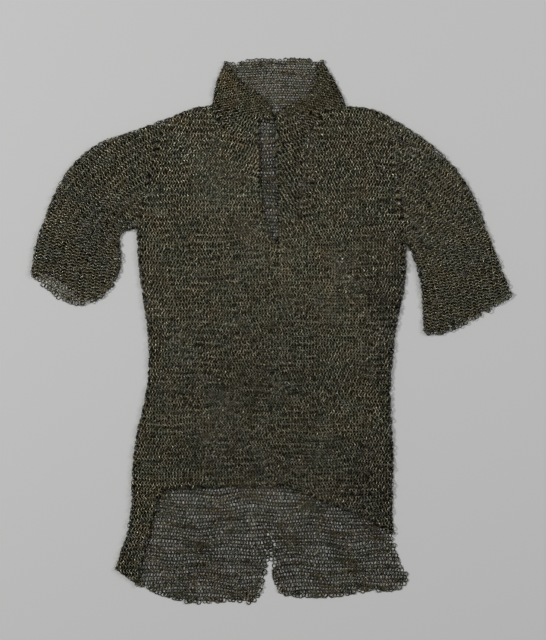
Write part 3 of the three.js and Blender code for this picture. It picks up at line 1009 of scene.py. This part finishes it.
@dataclass
class MailPiece:
    """A stretch of mail as one object of the scene."""

    name: str
    nodes: tuple[str, ...]
    slot: str
    rests_on: tuple[str, ...]
    rings: list[Rings]
    seed: int

    TILE = 0.9  # share of its square that a ring takes on the wear map

    def build(self, finish: bpy.types.Material) -> bpy.types.Object:
        """Writes the rings into one mesh.

        Args:
            finish: The piece's material.

        Returns:
            The object.
        """
        dice = np.random.default_rng(self.seed)
        sets = [rings.surface(dice) for rings in self.rings if len(rings)]
        starts = np.cumsum([0] + [len(s["places"]) for s in sets])
        places = np.concatenate([s["places"] for s in sets])
        quads = np.concatenate([s["quads"] + start for s, start in zip(sets, starts, strict=False)])
        mesh = bpy.data.meshes.new(self.name)
        mesh.vertices.add(len(places))
        mesh.vertices.foreach_set("co", (places * METRE).astype(np.float32).ravel())
        mesh.loops.add(quads.size)
        mesh.loops.foreach_set("vertex_index", quads.astype(np.int32).ravel())
        mesh.polygons.add(len(quads))
        mesh.polygons.foreach_set("loop_start", np.arange(0, quads.size, 4, dtype=np.int32))
        mesh.update(calc_edges=True)
        for mark in ("crown", "tone", "lap"):
            self.mark(mesh, mark, np.concatenate([s[mark] for s in sets]))
        self.mark(mesh, "stain_and_shade", self.stains_and_shade(places))
        self.lay_out(mesh, sets)
        mesh.shade_smooth()
        mesh.materials.append(finish)
        piece = add_to_scene(self.name, mesh)
        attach(piece, "root")
        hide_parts(*self.nodes)
        self.declare(places)
        log.info("%s: %d rings, %d triangles", self.name, sum(map(len, self.rings)), len(quads) * 2)
        return piece

    @staticmethod
    def mark(mesh: bpy.types.Mesh, name: str, values: np.ndarray) -> None:
        """Writes one number a vertex."""
        layer = mesh.attributes.new(name, "FLOAT", "POINT")
        layer.data.foreach_set("value", values.astype(np.float32))

    @staticmethod
    def stains_and_shade(places: Vectors) -> np.ndarray:
        """How dark the iron is: the deepest of the stains and painted shade, each falling off as exp(-r^2).

        Args:
            places: The vertices.

        Returns:
            The depth at each.
        """
        depth = np.zeros(len(places))
        for stain_and_shade in STAINS_AND_SHADE:
            depth = np.maximum(depth, stain_and_shade.depth * np.exp(-stain_and_shade.zone.share(places)))
        return depth

    def lay_out(self, mesh: bpy.types.Mesh, sets: list[dict[str, np.ndarray]]) -> None:
        """Gives each ring a square of its own on a map, its facets side by side in it.

        Args:
            mesh: The mesh.
            sets: The rings' arrays, in the mesh's order.
        """
        grids = np.concatenate([s["grid"] for s in sets])
        side = math.ceil(math.sqrt(len(grids)))
        corners = []
        first = 0
        for arrays in sets:
            around, section = arrays["grid"][0]
            number = first + np.arange(len(arrays["grid"]))
            first += len(arrays["grid"])
            cell = np.stack([number % side, number // side], axis=1)[:, None, None, None]
            u, v = np.meshgrid(np.arange(around), np.arange(section), indexing="ij")
            low = np.stack([u / around, v / section], axis=-1)
            steps = np.array([[0, 0], [1 / around, 0], [1 / around, 1 / section], [0, 1 / section]])
            inner = (low[:, :, None] + steps) * self.TILE
            corners.append(((cell + inner) / side).reshape(-1, 2))
        layer = mesh.uv_layers.new(name="OFBake")
        layer.data.foreach_set("uv", np.concatenate(corners).astype(np.float32).ravel())

    def declare(self, places: Vectors) -> None:
        """Works out the piece's own flat size and the area that its rings serve, and keeps neither.

        Args:
            places: Its vertices.
        """
        width, length = (places.max(axis=0) - places.min(axis=0))[:2] * METRE
        area = sum(len(rings) * rings.size.cell for rings in self.rings) * METRE**2
        area = min(area, width * length)


# ---- the shirt


TORSO = RingSize(outer=9.4, wire=1.8, high=0.75, pitch=5.3, row=6.1)
BACK = RingSize(outer=9.6, wire=1.8, high=0.7, pitch=5.25, row=6.1, lean=16)
SLEEVE = RingSize(outer=9.5, wire=1.6, high=0.75, pitch=5.4, row=6.1)
COLLAR = RingSize(outer=7.7, wire=1.4, high=0.65, pitch=4.9, row=4.4, lean=17)
TIDY = Looseness(along=0.12, across=0.14, wander=0.15, lift=0.08, sway=3.5, lean=3.5)
SHAKEN = Looseness(along=0.34, across=0.3, wander=0.6, lift=0.18, sway=8.0, lean=7.0)
SLACK = Looseness(along=0.3, across=0.25, wander=0.7, lift=0.2, sway=7.0, lean=5.0)


FINISHES = (  # brown, olive, and worn, the rubbed crowns' colour that also paints their highlight
    MailIron("body_mail", (0.105, 0.083, 0.042), (0.078, 0.083, 0.048), (0.4, 0.368, 0.27)),
    MailIron("sleeve_mail", (0.105, 0.085, 0.038), (0.084, 0.086, 0.049), (0.41, 0.375, 0.27)),
    MailIron("collar_mail", (0.1, 0.076, 0.035), (0.077, 0.079, 0.042), (0.56, 0.49, 0.34)),
)


@dataclass
class MailShirt:
    """The whole shirt: two body panels, two sleeves and a collar of two layers each."""

    nodes: dict[str, bpy.types.Object]

    LOWER = ("back_panel", "sleeve_left_under", "sleeve_right_under", "collar_back")
    UPPER = (
        "front_panel",
        "sleeve_left_upper",
        "sleeve_right_upper",
        "collar_front_left",
        "collar_front_right",
    )
    NECK = (-5.0, 442.0)  # the middle that the rows round the neck are drawn round
    YOKE = 108.0  # how far out they reach
    WORN_CUFF = Zone(-386, 74, 46, 17, turn=-33)  # where the left cuff's upper layer is gone
    CHEST_LEVEL = 150.0
    LAP_LEVEL = -150.0
    BACK_LEVEL = 60.0
    TAILS_LEVEL = -300.0

    def __post_init__(self) -> None:
        """Reads the walls once."""
        self.tops = {name: Facing.of_nodes([node]) for name, node in self.nodes.items()}
        self.bottoms = {name: Facing.of_nodes([node], up=False) for name, node in self.nodes.items()}
        self.cover = Facing.of_nodes([self.nodes[name] for name in self.UPPER])

    def layer(
        self, name: str, flows: tuple[RowFlow | BendFlow, ...], size: RingSize, seed: int, **more: object
    ) -> Layer:
        """Sets up one wall's layer of mail.

        Args:
            name: The wall's node.
            flows: How its rows run.
            size: Its rings.
            seed: The number that its chance starts from.
            **more: Anything else that the layer takes.

        Returns:
            The layer.
        """
        lower = name in self.LOWER
        beside = [self.nodes[n] for n in (self.LOWER if lower else self.UPPER) if n != name]
        outline = Outline.of_layer(self.tops[name], self.bottoms[name], Facing.of_nodes(beside))
        cover = self.cover if lower else None
        return Layer(name, self.tops[name], outline, flows, size, seed, cover=cover, **more)

    def front(self) -> list[MailPiece]:
        """The front, in three stretches from the neck to the hem.

        Returns:
            The stretches.
        """
        yoke = Zone(*self.NECK, self.YOKE, self.YOKE)
        rows = RowFlow(
            drifts=(
                Drift(x=16, side=1, reach=44, low=90, high=280, sag=30),
                Drift(x=-20, side=-1, reach=52, low=200, high=370, sag=16),
            ),
            zone=replace(yoke, inside=False),
        )
        round_neck = BendFlow(*self.NECK, start=165, stop=375, wave=0.8, zone=yoke, loose=TIDY)
        layer = self.layer(
            "front_panel", (rows, round_neck), TORSO, seed=11, makes_folds=True, edge_inset=0.42
        )
        bands = {
            "front_mail_chest": (self.CHEST_LEVEL, math.inf),
            "front_mail_waist": (self.LAP_LEVEL, self.CHEST_LEVEL),
            "front_mail_lap": (-math.inf, self.LAP_LEVEL),
        }
        return self.banded(layer, bands, ("back_panel",), seed=21)

    def back(self) -> list[MailPiece]:
        """The back: two stretches under the front and the tails that show below its hem.

        Returns:
            The stretches.
        """
        rows = RowFlow(wave=2.6, shift=0.5, loose=SLACK)
        # The back's crowns take less worn colour and painted highlight.
        layer = self.layer("back_panel", (rows,), BACK, seed=12, rubbed=0.7)
        bands = {
            "back_mail_shoulders": (self.BACK_LEVEL, math.inf),
            "back_mail_waist": (self.TAILS_LEVEL, self.BACK_LEVEL),
            "back_mail_tails": (-math.inf, self.TAILS_LEVEL),
        }
        return self.banded(layer, bands, (), seed=31)

    @staticmethod
    def banded(
        layer: Layer, bands: dict[str, tuple[float, float]], rests_on: tuple[str, ...], seed: int
    ) -> list[MailPiece]:
        """Shares a panel's rings out among stretches by their level.

        Args:
            layer: The panel's mail.
            bands: Each stretch's lowest and highest level.
            rests_on: What they lie on.
            seed: The first stretch's seed.

        Returns:
            The stretches as pieces.
        """
        rings, made = layer.rings(), []
        for k, (name, (low, high)) in enumerate(bands.items()):
            here = [some.only((some.centre[:, 1] >= low) & (some.centre[:, 1] < high)) for some in rings]
            made.append(MailPiece(name, (layer.name,), "body_mail", rests_on, here, seed + k))
        return made

    def sleeves(self) -> list[MailPiece]:
        """The two sleeves, each an upper and an under layer joined round its folds.

        Returns:
            The four layers.
        """
        made = []
        bends = {
            "left": BendFlow(x=-97, y=61, start=200, stop=88, loose=SHAKEN),
            "right": BendFlow(x=98, y=25, start=-18, stop=92, loose=SHAKEN),
        }
        for k, (side, flow) in enumerate(bends.items()):
            for j, level in enumerate(("under", "upper")):
                name = f"sleeve_{side}_{level}"
                worn = (self.WORN_CUFF,) if side == "left" else ()
                more = {"makes_folds": True, "bare": worn} if level == "upper" else {"uncovered": worn}
                layer = self.layer(name, (flow,), SLEEVE, 41 + 2 * k + j, edge_inset=0.13, **more)
                rests_on = (f"sleeve_{side}_under",) if level == "upper" else ()
                made.append(
                    MailPiece(f"{name}_mail", (name,), "sleeve_mail", rests_on, layer.rings(), 51 + 2 * k + j)
                )
        return made

    def collar(self) -> list[MailPiece]:
        """The collar: its back lies open inside the two fronts that fold over from the sides.

        Returns:
            The three pieces.
        """
        flows = {
            "collar_back": RowFlow(wave=0.7, arch=2.0),
            "collar_front_left": RowFlow(heading=-50, wave=0.6, loose=TIDY),
            "collar_front_right": RowFlow(heading=48, wave=0.6, loose=TIDY),
        }
        made = []
        for k, (name, flow) in enumerate(flows.items()):
            inside = name == "collar_back"
            # The collar fronts' crowns take more worn colour and painted highlight than its inside.
            more = {"rubbed": 0.85} if inside else {"makes_folds": True, "rubbed": 1.3}
            layer = self.layer(name, (flow,), COLLAR, 61 + k, **more)
            rests_on = () if inside else ("collar_back",)
            made.append(MailPiece(f"{name}_mail", (name,), "collar_mail", rests_on, layer.rings(), 71 + k))
        return made

    def build(self) -> None:
        """Builds every piece with its own finish."""
        materials = {finish.name: finish.material() for finish in FINISHES}
        total = 0
        for piece in self.front() + self.back() + self.sleeves() + self.collar():
            total += len(piece.build(materials[piece.slot]).data.polygons) * 2
        log.info("%d triangles in all", total)


# ---- studio


@dataclass(frozen=True)
class Lamp:
    """A soft square lamp, aimed at the middle of the shirt."""

    name: str
    place: tuple[float, float, float]
    side: float
    power: float

    def light(self) -> None:
        """Adds the lamp: it is tipped from straight down by its place's own angle from the vertical."""
        data = bpy.data.lights.new(self.name, "AREA")
        data.shape = "SQUARE"
        data.size = self.side
        data.energy = self.power
        lamp = add_to_scene(self.name, data)
        lamp.location = self.place
        x, y, z = self.place
        lamp.rotation_euler = (math.atan2(math.hypot(x, y), z), 0, math.atan2(y, x) + math.pi / 2)


@dataclass
class Studio:
    """A pale grey ground, soft light and a camera straight above."""

    aside: float = 0.0034  # the view's middle stands off the shirt's
    upward: float = 0.0196
    view_height: float = 1.152
    lens: float = 85.0
    sensor: float = 36.0
    far: float = 20.0  # beyond the ground
    ground_half: float = 6.0
    ground: tuple[float, float, float] = (0.48, 0.48, 0.4728)
    ground_roughness: float = 0.9
    sky: tuple[float, float, float] = (0.95, 0.97, 1.0)
    sky_strength: float = 0.22

    LAMPS = (
        Lamp("key", (-2.8, 1.0, 3.6), 1.1, 149.0),
        Lamp("fill", (2.8, 0.9, 3.2), 2.0, 76.0),
    )

    def build(self) -> None:
        """Sets the camera, the ground, the lamps and the sky."""
        self.set_camera()
        self.lay_ground()
        for lamp in self.LAMPS:
            lamp.light()
        world = bpy.data.worlds.new("studio")
        world.use_nodes = True
        background = world.node_tree.nodes["Background"]
        background.inputs["Color"].default_value = (*self.sky, 1)
        background.inputs["Strength"].default_value = self.sky_strength
        bpy.context.scene.world = world
        bpy.context.scene.view_settings.view_transform = "Standard"

    def set_camera(self) -> None:
        """A long lens that looks straight down at the shirt, its top up in the view."""
        low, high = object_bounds()
        data = bpy.data.cameras.new("above")
        data.lens = self.lens
        data.sensor_width = self.sensor
        data.clip_end = self.far
        camera = add_to_scene("above", data)
        away = self.view_height / 2 * self.lens / (self.sensor / 2)
        middle = (low + high) / 2
        camera.location = (middle.x + self.aside, middle.y + self.upward, high.z + away)
        bpy.context.scene.camera = camera

    def lay_ground(self) -> None:
        """A wide level sheet of pale paper under the shirt."""
        half = self.ground_half
        mesh = bpy.data.meshes.new("ground")
        corners = [(-half, -half, 0), (half, -half, 0), (half, half, 0), (-half, half, 0)]
        mesh.from_pydata(corners, [], [(0, 1, 2, 3)])
        paper = bpy.data.materials.new("ground_paper")
        paper.use_nodes = True
        shader = paper.node_tree.nodes["Principled BSDF"]
        shader.inputs["Base Color"].default_value = (*self.ground, 1)
        shader.inputs["Roughness"].default_value = self.ground_roughness
        mesh.materials.append(paper)
        add_to_scene("ground", mesh)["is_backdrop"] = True


def main() -> None:
    """Loads the frame, sets the studio and knits the shirt."""
    logging.basicConfig(level=logging.INFO, format="%(name)s: %(message)s")
    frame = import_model()
    Studio().build()
    MailShirt(frame["nodes"]).build()


if __name__ == "__main__":
    main()
